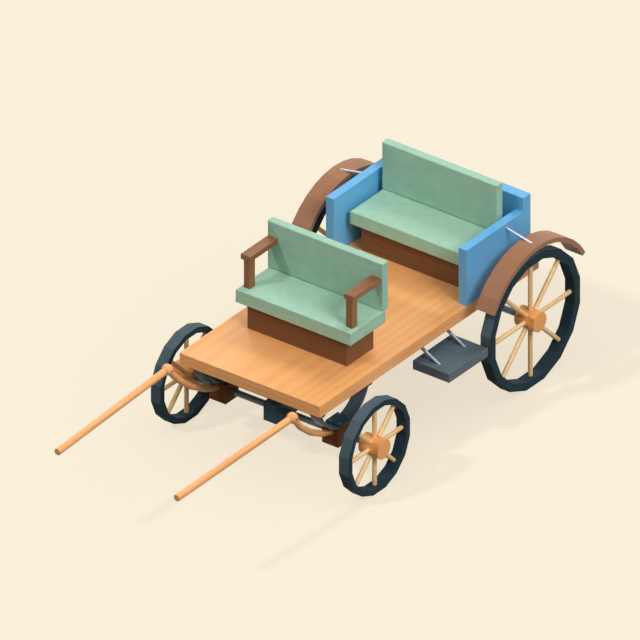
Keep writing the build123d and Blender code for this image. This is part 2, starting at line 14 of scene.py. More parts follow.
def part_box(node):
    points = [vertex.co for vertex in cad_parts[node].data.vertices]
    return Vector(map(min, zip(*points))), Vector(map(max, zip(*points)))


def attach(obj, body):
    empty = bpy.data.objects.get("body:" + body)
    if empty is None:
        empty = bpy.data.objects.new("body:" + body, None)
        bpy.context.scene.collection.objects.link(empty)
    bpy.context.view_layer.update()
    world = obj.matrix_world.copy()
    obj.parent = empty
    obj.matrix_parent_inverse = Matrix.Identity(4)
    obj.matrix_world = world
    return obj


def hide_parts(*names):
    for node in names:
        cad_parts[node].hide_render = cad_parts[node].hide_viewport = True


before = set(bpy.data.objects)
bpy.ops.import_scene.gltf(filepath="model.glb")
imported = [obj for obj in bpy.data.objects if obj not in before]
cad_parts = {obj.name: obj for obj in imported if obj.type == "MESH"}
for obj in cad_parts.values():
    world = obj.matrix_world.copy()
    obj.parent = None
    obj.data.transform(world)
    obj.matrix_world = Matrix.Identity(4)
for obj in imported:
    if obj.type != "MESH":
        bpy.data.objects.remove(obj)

log = logging.getLogger("phaeton")
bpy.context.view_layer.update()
MM: float = 0.001
CARRIAGE: str = "carriage_body"
FORE: str = "fore_carriage"
WAVE_LENGTH: float = math.pi / 10  # one wave of Blender's wave texture at a scale of 1
RELIEF_STRENGTH: float = 0.6
SMOOTH_ANGLE: float = math.radians(35)
Triple = tuple[float, float, float]
Key = str | int
Settings = dict[Key, Any]
Links = dict[Key, bpy.types.NodeSocket]


def to_linear(code: str) -> tuple[float, float, float, float]:
    """Turn an sRGB hex colour into linear RGBA.

    Args:
        code: six hex digits, such as "F4B27A".

    Returns:
        The linear red, green and blue values, with an alpha of 1.
    """
    parts = [int(code[i : i + 2], 16) / 255 for i in (0, 2, 4)]
    red, green, blue = (c / 12.92 if c <= 0.04045 else ((c + 0.055) / 1.055) ** 2.4 for c in parts)
    return red, green, blue, 1.0


def add_node(
    tree: bpy.types.NodeTree,
    kind: str,
    settings: Settings | None = None,
    links: Links | None = None,
) -> bpy.types.Node:
    """Add one shader node with its settings and links.

    Args:
        tree: the node tree that gets the node.
        kind: the node's type name.
        settings: values by input name, input number or property name; properties come first.
        links: output sockets by the input name or number that they feed.

    Returns:
        The new node.
    """
    node = tree.nodes.new(kind)
    for key, value in (settings or {}).items():
        if isinstance(key, int) or key in node.inputs:
            node.inputs[key].default_value = value
        else:
            setattr(node, key, value)
    for key, source in (links or {}).items():
        tree.links.new(source, node.inputs[key])
    return node


class GrainRun(Enum):
    """The way a grain or a brush runs on a piece, as the axis along it."""

    SIDEWAYS = 0
    LENGTHWISE = 1
    UPRIGHT = 2

    def scale(self, stretch: float) -> Triple:
        """Find the Mapping scale that draws a pattern out along the grain.

        Args:
            stretch: how many times longer the pattern gets.

        Returns:
            The scale along X, Y and Z.
        """
        values = [1.0, 1.0, 1.0]
        values[self.value] = 1 / stretch
        return values[0], values[1], values[2]


@dataclass(frozen=True)
class Finish:
    """What every finish has: two tones that it drifts between, a roughness, a specular level and a relief."""

    name: str
    pale: str
    deep: str
    roughness: float = 0.5
    specular: float = 0.5
    swing: float = 0.08  # how far the roughness drifts each way
    spread: tuple[float, float] = (0.3, 0.7)  # the pattern's values that give the deep and the pale tone
    relief_mm: float = 0.5

    def material(self) -> bpy.types.Material:
        """Return the finish's material, which each kind of finish makes in its own way."""
        raise NotImplementedError

    def start(self) -> bpy.types.Material:
        """Start an empty material with the finish's name.

        Returns:
            The material, with no nodes.
        """
        material = bpy.data.materials.new(self.name)
        material.use_nodes = True
        material.node_tree.nodes.clear()
        return material

    def drift(self, tree: bpy.types.NodeTree, pattern: bpy.types.NodeSocket) -> bpy.types.NodeSocket:
        """Let the colour drift between the two tones.

        Args:
            tree: the material's node tree.
            pattern: the values that it follows.

        Returns:
            The socket that gives the colour.
        """
        limits: Settings = {"From Min": self.spread[0], "From Max": self.spread[1]}
        amount = add_node(tree, "ShaderNodeMapRange", limits, {"Value": pattern}).outputs["Result"]
        tones: Settings = {"data_type": "RGBA", 6: to_linear(self.deep), 7: to_linear(self.pale)}
        return add_node(tree, "ShaderNodeMix", tones, {0: amount}).outputs[2]

    def close(
        self,
        tree: bpy.types.NodeTree,
        colour: bpy.types.NodeSocket,
        patches: bpy.types.NodeSocket,
        height: bpy.types.NodeSocket,
        extra: Settings | None = None,
    ) -> None:
        """End the material with its roughness, relief, shader and output.

        Args:
            tree: the material's node tree.
            colour: what colours it.
            patches: the pattern that its roughness follows.
            height: the pattern that its relief follows.
            extra: what else the shader is set to.
        """
        shine: Settings = {
            "From Min": 0.3,
            "From Max": 0.7,
            "To Min": self.roughness - self.swing,
            "To Max": self.roughness + self.swing,
        }
        rough = add_node(tree, "ShaderNodeMapRange", shine, {"Value": patches}).outputs["Result"]
        depth: Settings = {"Distance": self.relief_mm * MM, "Strength": RELIEF_STRENGTH}
        bump = add_node(tree, "ShaderNodeBump", depth, {"Height": height}).outputs["Normal"]
        surface: Settings = {"Specular IOR Level": self.specular, **(extra or {})}
        feeds: Links = {"Base Color": colour, "Roughness": rough, "Normal": bump}
        shader = add_node(tree, "ShaderNodeBsdfPrincipled", surface, feeds).outputs["BSDF"]
        add_node(tree, "ShaderNodeOutputMaterial", links={"Surface": shader})


@dataclass(frozen=True)
class RubbedFinish(Finish):
    """A finish with a run along the piece, whose edges hands and boots rub to another colour."""

    worn: str = "FFD9A6"
    run: GrainRun = GrainRun.LENGTHWISE
    edge_mm: float = 7.0
    wear: float = 0.3

    def rub(self, tree: bpy.types.NodeTree, tone: bpy.types.NodeSocket) -> bpy.types.NodeSocket:
        """Rub the edges, which are found where the bevelled normal leaves the plain one.

        Args:
            tree: the material's node tree.
            tone: the colour away from the edges.

        Returns:
            The socket that gives the colour.
        """
        plain = add_node(tree, "ShaderNodeNewGeometry").outputs["Normal"]
        bevel: Settings = {"samples": 6, "Radius": self.edge_mm * MM}
        rounded = add_node(tree, "ShaderNodeBevel", bevel).outputs["Normal"]
        match = add_node(tree, "ShaderNodeVectorMath", {"operation": "DOT_PRODUCT"}, {0: plain, 1: rounded})
        limits: Settings = {"From Min": 1.0, "From Max": 0.75}
        edges = add_node(tree, "ShaderNodeMapRange", limits, {"Value": match.outputs["Value"]}).outputs["Result"]
        rubbed: Settings = {"operation": "MULTIPLY", 1: self.wear}
        bare = add_node(tree, "ShaderNodeMath", rubbed, {0: edges}).outputs[0]
        ends: Settings = {"data_type": "RGBA", 7: to_linear(self.worn)}
        return add_node(tree, "ShaderNodeMix", ends, {0: bare, 6: tone}).outputs[2]


@dataclass(frozen=True)
class Timber(RubbedFinish):
    """Planed and oiled or varnished wood: growth rings along the board, fine fibres and a low sheen."""

    swing: float = 0.07
    fibre_mm: float = 14.0  # real fibres are about 1 mm apart; drawn coarser, so that they show
    ring_mm: float = 34.0  # real rings are about 5 mm apart; drawn coarser, so that they show
    figure_mm: float = 160.0
    stretch: float = 14.0
    heart_m: Triple = (0.13, 0.07, 0.31)  # how far the tree's heart lies from the piece's origin
    ring_share: float = 0.3
    figure_share: float = 0.4
    varnish: float = 0.0
    varnish_roughness: float = 0.3

    def material(self) -> bpy.types.Material:
        """Make the wood's material.

        Returns:
            The material.
        """
        material = self.start()
        tree = material.node_tree
        spot = add_node(tree, "ShaderNodeTexCoord").outputs["Object"]
        heart: Settings = {"Scale": self.run.scale(self.stretch), "Location": self.heart_m}
        along = add_node(tree, "ShaderNodeMapping", heart, {"Vector": spot}).outputs["Vector"]
        fine: Settings = {
            "Scale": 1 / (self.fibre_mm * MM),
            "Detail": 4.0,
            "Roughness": 0.6,
            "Distortion": 0.3,
        }
        fibre = add_node(tree, "ShaderNodeTexNoise", fine, {"Vector": along}).outputs["Fac"]
        growth: Settings = {
            "wave_type": "RINGS",
            "rings_direction": "XYZ"[self.run.value],
            "Scale": WAVE_LENGTH / (self.ring_mm * MM),
            "Distortion": 5.0,
            "Detail": 2.0,
            "Detail Scale": 0.4,
        }
        rings = add_node(tree, "ShaderNodeTexWave", growth, {"Vector": along}).outputs["Fac"]
        broad: Settings = {"Scale": 1 / (self.figure_mm * MM), "Detail": 2.0}
        figure = add_node(tree, "ShaderNodeTexNoise", broad, {"Vector": along}).outputs["Fac"]
        grain = add_node(tree, "ShaderNodeMix", {0: self.ring_share}, {2: fibre, 3: rings}).outputs[0]
        blend = add_node(tree, "ShaderNodeMix", {0: self.figure_share}, {2: grain, 3: figure}).outputs[0]
        colour = self.rub(tree, self.drift(tree, blend))
        coat: Settings = {"Coat Weight": self.varnish, "Coat Roughness": self.varnish_roughness}
        self.close(tree, colour, fibre, grain, coat)
        return material


@dataclass(frozen=True)
class CoachPaint(RubbedFinish):
    """Brushed oil paint on wood or iron: an even colour, faint brush marks, rubbed edges and a soft gloss."""

    swing: float = 0.06
    relief_mm: float = 0.25
    worn: str = "A9B4B8"
    edge_mm: float = 6.0
    wear: float = 0.22
    brush_mm: float = 14.0  # bristle marks are about 1 mm apart; drawn coarser, so that they show
    cloud_mm: float = 220.0
    stretch: float = 9.0
    cloud_share: float = 0.55
    gloss: float = 0.1
    gloss_roughness: float = 0.25

    def material(self) -> bpy.types.Material:
        """Make the paint's material.

        Returns:
            The material.
        """
        material = self.start()
        tree = material.node_tree
        spot = add_node(tree, "ShaderNodeTexCoord").outputs["Object"]
        strokes: Settings = {"Scale": self.run.scale(self.stretch)}
        along = add_node(tree, "ShaderNodeMapping", strokes, {"Vector": spot}).outputs["Vector"]
        fine: Settings = {"Scale": 1 / (self.brush_mm * MM), "Detail": 3.0}
        brush = add_node(tree, "ShaderNodeTexNoise", fine, {"Vector": along}).outputs["Fac"]
        broad: Settings = {"Scale": 1 / (self.cloud_mm * MM), "Detail": 4.0, "Roughness": 0.6}
        cloud = add_node(tree, "ShaderNodeTexNoise", broad, {"Vector": spot}).outputs["Fac"]
        blend = add_node(tree, "ShaderNodeMix", {0: self.cloud_share}, {2: brush, 3: cloud}).outputs[0]
        colour = self.rub(tree, self.drift(tree, blend))
        coat: Settings = {"Coat Weight": self.gloss, "Coat Roughness": self.gloss_roughness}
        self.close(tree, colour, cloud, brush, coat)
        return material


@dataclass(frozen=True)
class WoolCloth(Finish):
    """Plain woven wool coach cloth: a matt felted face with a soft sheen and a thread grid."""

    spread: tuple[float, float] = (0.25, 0.75)
    relief_mm: float = 0.9
    thread_mm: float = 15.0  # real threads are about 2 mm apart; drawn coarser, so that they show
    nap_mm: float = 70.0
    weave_share: float = 0.12
    sheen: float = 0.08
    sheen_roughness: float = 0.5

    def weave(self, tree: bpy.types.NodeTree, place: bpy.types.NodeOutputs) -> bpy.types.NodeSocket:
        """Weave threads over each face, along the two axes that lie in it.

        Args:
            tree: the material's node tree.
            place: the outputs of the texture coordinates.

        Returns:
            The socket that gives the thread grid, round 0.
        """
        spots = add_node(tree, "ShaderNodeSeparateXYZ", links={"Vector": place["Object"]}).outputs
        faces = add_node(tree, "ShaderNodeSeparateXYZ", links={"Vector": place["Normal"]}).outputs
        pitch: Settings = {"operation": "MULTIPLY", 1: 2 * math.pi / (self.thread_mm * MM)}
        threads: list[bpy.types.NodeSocket] = []
        for axis in range(3):
            angle = add_node(tree, "ShaderNodeMath", pitch, {0: spots[axis]}).outputs[0]
            threads.append(add_node(tree, "ShaderNodeMath", {"operation": "SINE"}, {0: angle}).outputs[0])
        grid = add_node(tree, "ShaderNodeMath", {"operation": "ADD", 0: 0.0, 1: 0.0}).outputs[0]
        for warp, weft, normal in ((0, 1, 2), (0, 2, 1), (1, 2, 0)):
            crossing: Links = {0: threads[warp], 1: threads[weft]}
            cross = add_node(tree, "ShaderNodeMath", {"operation": "MULTIPLY"}, crossing).outputs[0]
            turned: Links = {0: faces[normal]}
            share = add_node(tree, "ShaderNodeMath", {"operation": "ABSOLUTE"}, turned).outputs[0]
            total: Links = {0: cross, 1: share, 2: grid}
            grid = add_node(tree, "ShaderNodeMath", {"operation": "MULTIPLY_ADD"}, total).outputs[0]
        return grid

    def material(self) -> bpy.types.Material:
        """Make the cloth's material.

        Returns:
            The material.
        """
        material = self.start()
        tree = material.node_tree
        place = add_node(tree, "ShaderNodeTexCoord").outputs
        weave = self.weave(tree, place)
        soft: Settings = {"Scale": 1 / (self.nap_mm * MM), "Detail": 6.0, "Roughness": 0.7}
        nap = add_node(tree, "ShaderNodeTexNoise", soft, {"Vector": place["Object"]}).outputs["Fac"]
        mixed: Settings = {"operation": "MULTIPLY_ADD", 1: self.weave_share}
        blend = add_node(tree, "ShaderNodeMath", mixed, {0: weave, 2: nap}).outputs[0]
        felt: Settings = {"Sheen Weight": self.sheen, "Sheen Roughness": self.sheen_roughness}
        self.close(tree, self.drift(tree, blend), nap, weave, felt)
        return material


@dataclass(frozen=True)
class Rubber(Finish):
    """Solid moulded rubber: dark, matt and slightly pitted, with a greyer tread that is partly road dust and
    partly a painted highlight.
    """

    spread: tuple[float, float] = (0.15, 0.85)
    relief_mm: float = 0.4
    grit_mm: float = 14.0  # the pits are about 1 mm; drawn coarser, so that they show
    dust_mm: float = 130.0
    # the tread's grey: partly road dust, partly a painted highlight
    tread: str = "56686F"

    def material(self) -> bpy.types.Material:
        """Make the rubber's material.

        Returns:
            The material.
        """
        material = self.start()
        tree = material.node_tree
        place = add_node(tree, "ShaderNodeTexCoord").outputs
        spot = place["Object"]
        across = add_node(tree, "ShaderNodeSeparateXYZ", links={"Vector": place["Normal"]}).outputs["X"]
        wall = add_node(tree, "ShaderNodeMath", {"operation": "ABSOLUTE"}, {0: across}).outputs[0]
        road: Settings = {"From Min": 0.6, "From Max": 0.3}
        tread = add_node(tree, "ShaderNodeMapRange", road, {"Value": wall}).outputs["Result"]
        fine: Settings = {"Scale": 1 / (self.grit_mm * MM), "Detail": 4.0}
        grit = add_node(tree, "ShaderNodeTexNoise", fine, {"Vector": spot}).outputs["Fac"]
        broad: Settings = {"Scale": 1 / (self.dust_mm * MM), "Detail": 5.0, "Roughness": 0.65}
        dust = add_node(tree, "ShaderNodeTexNoise", broad, {"Vector": spot}).outputs["Fac"]
        clean = self.drift(tree, dust)
        # Painted highlight: the tread's grey is partly road dust and partly painted sheen, patchy where the dust
        # lies.
        patchy: Settings = {"From Min": 0.2, "From Max": 0.8, "To Min": 0.65, "To Max": 1.0}
        film = add_node(tree, "ShaderNodeMapRange", patchy, {"Value": dust}).outputs["Result"]
        dust_and_sheen = add_node(tree, "ShaderNodeMath", {"operation": "MULTIPLY"}, {0: tread, 1: film}).outputs[0]
        greys: Settings = {"data_type": "RGBA", 7: to_linear(self.tread)}
        tone = add_node(tree, "ShaderNodeMix", greys, {0: dust_and_sheen, 6: clean}).outputs[2]
        self.close(tree, tone, dust, grit)
        return material


@dataclass(frozen=True)
class BrightSteel(Finish):
    """Drawn and polished steel rod: metallic, with fine lines along the rod."""

    relief_mm: float = 0.1
    line_mm: float = 6.0  # drawing lines are under 0.5 mm; drawn coarser, so that they show
    stretch: float = 12.0

    def material(self) -> bpy.types.Material:
        """Make the steel's material.

        Returns:
            The material.
        """
        material = self.start()
        tree = material.node_tree
        spot = add_node(tree, "ShaderNodeTexCoord").outputs["Object"]
        drawn: Settings = {"Scale": GrainRun.SIDEWAYS.scale(self.stretch)}
        along = add_node(tree, "ShaderNodeMapping", drawn, {"Vector": spot}).outputs["Vector"]
        fine: Settings = {"Scale": 1 / (self.line_mm * MM), "Detail": 3.0}
        lines = add_node(tree, "ShaderNodeTexNoise", fine, {"Vector": along}).outputs["Fac"]
        self.close(tree, self.drift(tree, lines), lines, lines, {"Metallic": 1.0})
        return material


@lru_cache(maxsize=None)
def material_of(finish: Finish) -> bpy.types.Material:
    """Return a finish's material, made once."""
    return finish.material()


def dress(names: Iterable[str], finish: Finish) -> None:
    """Give CAD nodes a finish.

    Args:
        names: the nodes' names.
        finish: the finish that they get.
    """
    for name in names:
        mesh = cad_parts[name].data
        mesh.materials.clear()
        mesh.materials.append(material_of(finish))
        log.info("node %s: %s", name, finish.name)


def inner_reach(node: str) -> float:
    """Return how near a mirrored pair comes to the carriage's middle, in metres."""
    return min(abs(vertex.co.x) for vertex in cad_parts[node].data.vertices)


# Planed pine boards, oiled: warm orange, with soft ring lines and a low shine on top.
PINE = Timber("oiled pine", "FAB573", "EBA15C", 0.42, varnish=0.25)
# The same pine laid crosswise under the deck: no varnish, so it looks duller.
CROSS_PINE = Timber("oiled pine, crosswise", "FAB573", "EBA15C", 0.42, run=GrainRun.SIDEWAYS)
# Rounded ash poles, oiled: straight long fibres and a hand-rubbed shine.
ASH = Timber("oiled ash", "F7B679", "EBA061", 0.5, 0.3, varnish=0.1)
# Walnut boards, stained dark and left matt: deep brown, with hardly any shine.
WALNUT = Timber("stained walnut", "7D5636", "6D4A2E", 0.65, 0.25, worn="A87A55", run=GrainRun.SIDEWAYS)
# Sawn oak blocks, stained almost black-brown: open grain, no shine.
DARK_OAK = Timber("dark stained oak", "744519", "633911", 0.65, 0.2, worn="8A6240", run=GrainRun.SIDEWAYS)
# Beech rails, stained red-brown and varnished: short flecks under a soft gloss, paler where hands rub.
STAIN = Timber("brown stained beech", "925D38", "7E4E28", 0.42, 0.3, worn="C08E66", varnish=0.3)
# The same beech in the posts: the flecks stand upright.
UPRIGHT_STAIN = Timber(
    "brown stained beech, upright",
    "925D38",
    "7E4E28",
    0.42,
    0.3,
    worn="C08E66",
    run=GrainRun.UPRIGHT,
    varnish=0.3,
)
# Shaved ash spokes, varnished: pale straw with a light gloss.
VARNISHED_ASH = Timber("varnished ash", "F9D498", "EFC280", 0.45, fibre_mm=10.0, stretch=3.0, varnish=0.15)
# Elm hubs turned on a lathe and oiled: orange, with rings round the axle.
ELM = Timber(
    "turned elm",
    "F9AE62",
    "EB9A4E",
    0.45,
    run=GrainRun.SIDEWAYS,
    fibre_mm=10.0,
    ring_mm=16.0,
    stretch=6.0,
    varnish=0.2,
)
# Bent ash fenders in brushed brown paint: even, with faint marks along the brush and rubbed rims.
FENDER = CoachPaint("brown fender paint", "A67556", "98684C", 0.52, 0.25, worn="C99F80")
# Panels in brushed blue coach paint: bright and clean, with a soft gloss and pale rubbed corners.
BLUE = CoachPaint("blue coach paint", "6CB8EA", "5FAADC", 0.42, 0.3, worn="B5DAF2", run=GrainRun.UPRIGHT)
# Wrought iron in brushed slate paint: blue-grey, with grey metal showing on its edges.
SLATE = CoachPaint("slate paint on iron", "586A74", "4D5F69", 0.42, 0.2, worn="8A97A0")
# Turned iron axles in slate paint, painted lighter than the slate on other iron as painted light against the
# deck's shade, and glossier, for a round highlight.
AXLE_SLATE_PAINTED_LIGHTER = CoachPaint(
    "slate paint on axles", "6C7F8C", "5D707D", 0.36, worn="98A6B0", run=GrainRun.SIDEWAYS, gloss=0.25
)
# Oak in brushed slate paint: darker and more matt than on iron.
SLATE_WOOD = CoachPaint(
    "slate paint on wood", "34525F", "2B4652", 0.6, 0.2, worn="5D6E75", run=GrainRun.SIDEWAYS
)
# Bent rim segments in slate paint: nearly black, dulled by the road.
RIM = CoachPaint("slate rim paint", "2F424C", "273841", 0.6, 0.03, worn="566770", gloss=0.0)
# Woven wool cloth, felted: mint green, matt, with a soft light at grazing angles.
CLOTH = WoolCloth("mint wool cloth", "AED5BD", "9CC5AC", 0.8, 0.15)
# Moulded solid rubber: blue-black and matt, greyer on the tread, partly from road dust and partly as a painted
# highlight that stands in for its sheen.
TYRE = Rubber("solid black rubber", "2E414B", "25353D", 0.7, 0.02)
# Drawn and polished steel rod: bright grey, with lines along the rod.
STEEL = BrightSteel("drawn bright steel", "BAC5D6", "A6B1C4", 0.38)
# Forged steel rod, oiled and gone grey: the same lines, with a darker, duller light.
DULL_STEEL = BrightSteel("forged dull steel", "8B95A2", "7B8693", 0.42)


class Bench:
    """The workbench: what every new piece needs from Blender's operators."""

    @staticmethod
    def clear() -> None:
        """Leave edit mode and deselect everything."""
        if bpy.context.object and bpy.context.object.mode != "OBJECT":
            bpy.ops.object.mode_set(mode="OBJECT")
        bpy.ops.object.select_all(action="DESELECT")

    @staticmethod
    def choose(piece: bpy.types.Object) -> None:
        """Make a piece the only one selected, and active.

        Args:
            piece: the piece.
        """
        Bench.clear()
        piece.select_set(True)
        bpy.context.view_layer.objects.active = piece

    @staticmethod
    def block(low: Vector, high: Vector, name: str) -> bpy.types.Object:
        """Add a block between two corners.

        Args:
            low: the lowest corner.
            high: the highest corner.
            name: the piece's name.

        Returns:
            The new object, with its place in its mesh.
        """
        Bench.clear()
        bpy.ops.mesh.primitive_cube_add(size=1.0, location=(low + high) / 2)
        piece = bpy.context.object
        piece.name = name
        bpy.ops.transform.resize(value=high - low)
        Bench.settle(piece)
        return piece

    @staticmethod
    def settle(piece: bpy.types.Object) -> None:
        """Put a piece's place, turn and scale into its mesh."""
        Bench.choose(piece)
        bpy.ops.object.transform_apply(location=True, rotation=True, scale=True)

    @staticmethod
    def pick(piece: bpy.types.Object, test: Callable[[bpy.types.MeshPolygon], bool]) -> None:
        """Enter edit mode with only some faces selected.

        Args:
            piece: the mesh object.
            test: tells whether a face is selected.
        """
        Bench.choose(piece)
        bpy.ops.object.mode_set(mode="EDIT")
        bpy.ops.mesh.select_mode(type="FACE")
        bpy.ops.mesh.select_all(action="DESELECT")
        bpy.ops.object.mode_set(mode="OBJECT")
        for face in piece.data.polygons:
            face.select = test(face)
        bpy.ops.object.mode_set(mode="EDIT")

    @staticmethod
    def apply(piece: bpy.types.Object) -> None:
        """Apply all of a piece's modifiers in order.

        Args:
            piece: the piece.
        """
        Bench.choose(piece)
        for modifier in list(piece.modifiers):
            bpy.ops.object.modifier_apply(modifier=modifier.name)

    @staticmethod
    def copies(model: bpy.types.Object, places: Iterable[Matrix], name: str) -> bpy.types.Object:
        """Set copies of a model at some places, join them and take the model away.

        Args:
            model: the modelled piece, at the origin.
            places: where each copy goes.
            name: the joined piece's name.

        Returns:
            The joined piece.
        """
        made = []
        for place in places:
            Bench.choose(model)
            bpy.ops.object.duplicate(linked=False)
            copy = bpy.context.object
            copy.matrix_world = place
            Bench.settle(copy)
            made.append(copy)
        Bench.choose(model)
        bpy.ops.object.delete()
        Bench.clear()
        for copy in made:
            copy.select_set(True)
        bpy.context.view_layer.objects.active = made[0]
        bpy.ops.object.join()
        made[0].name = name
        return made[0]

    @staticmethod
    def hand_over(piece: bpy.types.Object, body: str, finish: Finish, slot: str) -> bpy.types.Object:
        """Give a finished piece its material and body.

        Args:
            piece: the finished piece.
            body: the CAD body that carries it.
            finish: its finish.
            slot: not used.

        Returns:
            The piece.
        """
        Bench.choose(piece)
        bpy.ops.object.shade_smooth_by_angle(angle=SMOOTH_ANGLE)
        piece.data.materials.clear()
        piece.data.materials.append(material_of(finish))
        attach(piece, body)
        log.info("piece %s: %d faces on %s", piece.name, len(piece.data.polygons), body)
        return piece


class FlatSide(Enum):
    """The side of a pad that lies flat on what carries it, as an axis and a direction."""

    UNDERSIDE = (2, -1)
    REAR = (1, 1)


@dataclass
class SeatPad:
    """A stuffed cushion or back: cloth in small cells that pressure fills, crowned between its edges."""

    node: str
    flat: FlatSide
    low_inset_mm: Triple
    high_inset_mm: Triple
    board: str = ""
    posts: str = ""
    cell_mm: float = 13.0
    least_cells: int = 2
    edge_mm: float = 4.0
    edge_segments: int = 2
    edge_angle_deg: float = 50.0
    pressure: float = 4.0
    swell_mm: float = 8.0
    frames: int = 14
    room_mm: float = 1.0
    overcut_mm: float = 50.0  # how far a cut for a board or post reaches below it

    def block(self) -> bpy.types.Object:
        """Make the pad's plain form, fitted to its space, in small even cells.

        Returns:
            The plain pad.
        """
        low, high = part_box(self.node)
        start = low + Vector(self.low_inset_mm) * MM
        end = high - Vector(self.high_inset_mm) * MM
        piece = Bench.block(start, end, f"{self.node}_pad")
        bpy.ops.object.mode_set(mode="EDIT")
        for axis in range(3):
            count = max(self.least_cells, round((end[axis] - start[axis]) / (self.cell_mm * MM)))
            normal = Vector((0, 0, 0))
            normal[axis] = 1.0
            for step in range(1, count):
                bpy.ops.mesh.select_all(action="SELECT")
                bpy.ops.mesh.bisect(plane_co=start + (end - start) * (step / count), plane_no=normal)
        bpy.ops.object.mode_set(mode="OBJECT")
        return piece

    def fill(self, piece: bpy.types.Object) -> None:
        """Swell the pad by pressure from its flat side, then scale the swelling to the room that it has.

        Args:
            piece: the pad.
        """
        axis, way = self.flat.value
        rest = [vertex.co.copy() for vertex in piece.data.vertices]
        edge = max(co[axis] * way for co in rest) * way
        seated = [i for i, co in enumerate(rest) if abs(co[axis] - edge) < MM]
        piece.vertex_groups.new(name="seated").add(seated, 1.0, "REPLACE")
        cloth = piece.modifiers.new("stuffing", "CLOTH")
        cloth.settings.vertex_group_mass = "seated"
        cloth.settings.use_pressure = True
        cloth.settings.uniform_pressure_force = self.pressure
        cloth.settings.effector_weights.gravity = 0.0
        cloth.collision_settings.use_collision = False
        cloth.point_cache.frame_start = 1
        cloth.point_cache.frame_end = self.frames
        for number in range(1, self.frames + 1):
            bpy.context.scene.frame_set(number)
        Bench.apply(piece)
        bpy.context.scene.frame_set(1)
        moves = [vertex.co - start for vertex, start in zip(piece.data.vertices, rest)]
        most = max(abs(value) for move in moves for value in move)
        share = min(1.0, self.swell_mm * MM / most)
        log.info("pad %s: swelled by %.1f mm, kept %.2f of it", self.node, most / MM, share)
        for vertex, start, move in zip(piece.data.vertices, rest, moves):
            vertex.co = start + move * share

    def soften(self, piece: bpy.types.Object) -> None:
        """Round the pad's edges.

        Args:
            piece: the pad.
        """
        bevel = piece.modifiers.new("edges", "BEVEL")
        bevel.width = self.edge_mm * MM
        bevel.segments = self.edge_segments
        bevel.limit_method = "ANGLE"
        bevel.angle_limit = math.radians(self.edge_angle_deg)
        Bench.apply(piece)

    def cut(self, piece: bpy.types.Object, low: Vector, high: Vector) -> None:
        """Cut a block of room out of the pad.

        Args:
            piece: the pad.
            low: the lowest corner of what fills the room.
            high: the highest corner.
        """
        room = Vector((1, 1, 1)) * self.room_mm * MM
        cutter = Bench.block(low - room, high + room, "room")
        cut = piece.modifiers.new("room", "BOOLEAN")
        cut.operation = "DIFFERENCE"
        cut.object = cutter
        Bench.apply(piece)
        Bench.choose(cutter)
        bpy.ops.object.delete()

    def fit(self, piece: bpy.types.Object) -> None:
        """Make room for the board under the pad and for the posts that pass it.

        Args:
            piece: the pad.
        """
        overcut = self.overcut_mm * MM
        if self.board:
            low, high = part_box(self.board)
            low.z -= overcut
            self.cut(piece, low, high)
        if self.posts:
            low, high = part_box(self.posts)
            inner = inner_reach(self.posts)
            for near, far in ((-high.x, -inner), (inner, high.x)):
                self.cut(piece, Vector((near, low.y, low.z - overcut)), Vector((far, high.y, high.z)))

    def build(self) -> None:
        """Make the pad and stand it for the plain solid."""
        piece = self.block()
        self.fill(piece)
        self.soften(piece)
        self.fit(piece)
        Bench.hand_over(piece, CARRIAGE, CLOTH, "seat_cloth")
        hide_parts(self.node)


@dataclass
class Hardware:
    """Coach bolts and washers: turned heads on round washers."""

    washer_mm: float = 14.0
    head_mm: float = 9.0
    washer_thickness_mm: float = 3.0
    head_height_mm: float = 7.0
    sides: int = 20
    shoulder: float = 0.6  # the share of the head's height that is straight
    taper: float = 0.7  # the head's width on top, as a share of its width below

    def bolt(self) -> bpy.types.Object:
        """Model one bolt head on its washer at the origin, pointing up.

        Returns:
            The bolt.
        """
        Bench.clear()
        thick = self.washer_thickness_mm * MM
        bpy.ops.mesh.primitive_cylinder_add(
            vertices=self.sides, radius=self.washer_mm * MM, depth=thick, location=(0, 0, thick / 2)
        )
        model = bpy.context.object
        Bench.settle(model)
        Bench.pick(model, lambda face: face.normal.z > 0.9)
        bpy.ops.mesh.inset(thickness=(self.washer_mm - self.head_mm) * MM)
        for share in (self.shoulder, 1 - self.shoulder):
            rise = (0, 0, self.head_height_mm * MM * share)
            bpy.ops.mesh.extrude_region_move(TRANSFORM_OT_translate={"value": rise})
        bpy.ops.transform.resize(value=(self.taper, self.taper, 1.0))
        bpy.ops.object.mode_set(mode="OBJECT")
        return model

    def row(self, name: str, body: str, places: list[Matrix], finish: Finish, slot: str) -> None:
        """Set bolts on one body, as one named piece, each with its head along its place's Z axis."""
        Bench.hand_over(Bench.copies(self.bolt(), places, name), body, finish, slot)


def facing(place: Iterable[float], direction: Iterable[float]) -> Matrix:
    """Return the matrix of a place, in metres, whose Z axis points in a direction."""
    turn = Vector(tuple(direction)).to_track_quat("Z", "Y").to_matrix().to_4x4()
    return Matrix.Translation(Vector(tuple(place))) @ turn


def clamp_places(node: str, spread_x: float, spread_y: float) -> list[Matrix]:
    """Find the bolt places on top of a pair of spring clamps.

    Args:
        node: the CAD node of the clamps.
        spread_x: half the distance between bolts across the carriage.
        spread_y: half the distance between bolts along it.

    Returns:
        Four places on each clamp, facing up.
    """
    low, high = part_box(node)
    middle_x = (inner_reach(node) + high.x) / 2
    middle_y = (low.y + high.y) / 2
    return [
        facing((side * middle_x + x * spread_x, middle_y + y * spread_y, high.z), (0, 0, 1))
        for side in (-1, 1)
        for x in (-1, 1)
        for y in (-1, 1)
    ]


class SubAssembly:
    """A part of the carriage, which may add pieces and dresses its CAD nodes."""

    def build(self) -> None:
        """Add nothing, unless the sub-assembly has pieces of its own."""

    def dress(self) -> None:
        """Give the CAD nodes their finishes."""
        raise NotImplementedError


